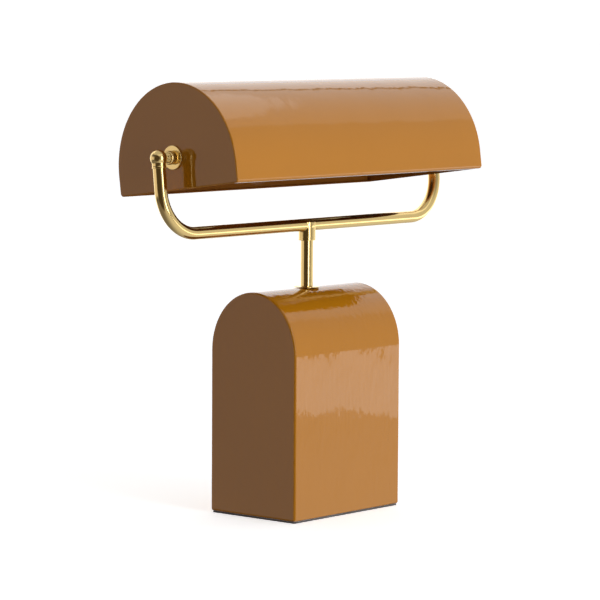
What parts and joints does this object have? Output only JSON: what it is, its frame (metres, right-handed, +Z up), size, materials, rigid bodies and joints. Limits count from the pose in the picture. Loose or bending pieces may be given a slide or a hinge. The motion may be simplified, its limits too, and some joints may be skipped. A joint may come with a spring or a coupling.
{
  "type": "banker desk lamp",
  "caption": "Desk lamp with an arched lacquered shade that tilts on a brass U-shaped yoke above a weighted arched base.",
  "frame": {"origin": "centre of the felt underside, on the surface that the lamp stands on", "axes": "+X along the shade, +Y away from the reader, +Z up"},
  "size_m": [0.4348, 0.1545, 0.4298],
  "materials": {
    "caramel_lacquer": "high-gloss caramel lacquer on sheet steel",
    "polished_brass": "polished and clear-lacquered pale brass",
    "cast_iron": "rough casting, painted black",
    "zinc_steel": "zinc-plated",
    "dark_felt": "pressed wool felt",
    "black_rubber": "moulded, satin",
    "black_plastic": "moulded phenolic, satin",
    "lead_insulation": "soft extruded insulation",
    "cap_aluminium": "drawn and threaded",
    "opal_glass": "opal, satin"
  },
  "bodies": {
    "base": {"ballast_block": "cast_iron", "ballast_screw_1": "zinc_steel", "ballast_screw_2": "zinc_steel", "base_end_left": "caramel_lacquer", "base_end_right": "caramel_lacquer", "base_wrap": "caramel_lacquer", "bulb_base_left": "cap_aluminium", "bulb_base_right": "cap_aluminium", "bulb_globe_left": "opal_glass", "bulb_globe_right": "opal_glass", "cord_grommet": "black_rubber", "felt_pad": "dark_felt", "floor_bracket_left": "zinc_steel", "floor_bracket_right": "zinc_steel", "floor_plate": "zinc_steel", "floor_screw_1": "zinc_steel", "floor_screw_2": "zinc_steel", "floor_screw_3": "zinc_steel", "floor_screw_4": "zinc_steel", "lampholder_left": "black_plastic", "lampholder_right": "black_plastic", "lead_left": "lead_insulation", "lead_right": "lead_insulation", "pivot_nut_left": "zinc_steel", "pivot_nut_right": "zinc_steel", "pivot_pin_left": "polished_brass", "pivot_pin_right": "polished_brass", "pivot_washer_left": "zinc_steel", "pivot_washer_right": "zinc_steel", "stem_nipple": "polished_brass", "stem_nut": "zinc_steel", "stem_star_washer": "zinc_steel", "stem_tube": "polished_brass", "stem_washer": "polished_brass", "tee_collar": "polished_brass", "terminal_block": "black_plastic", "yoke_ball_left": "polished_brass", "yoke_ball_right": "polished_brass", "yoke_tube": "polished_brass"},
    "shade": {"pivot_bead_left": "polished_brass", "pivot_bead_right": "polished_brass", "pivot_disc_left": "polished_brass", "pivot_disc_right": "polished_brass", "shade_cap_left": "caramel_lacquer", "shade_cap_right": "caramel_lacquer", "shade_shell": "caramel_lacquer"}
  },
  "joints": [
    {"name": "shade_tilt", "type": "hinge", "parent": "base", "child": "shade", "pos_m": [0, 0.00714, 0.35835], "axis": [1, 0, 0], "range_deg": [-45, 45]}
  ]
}
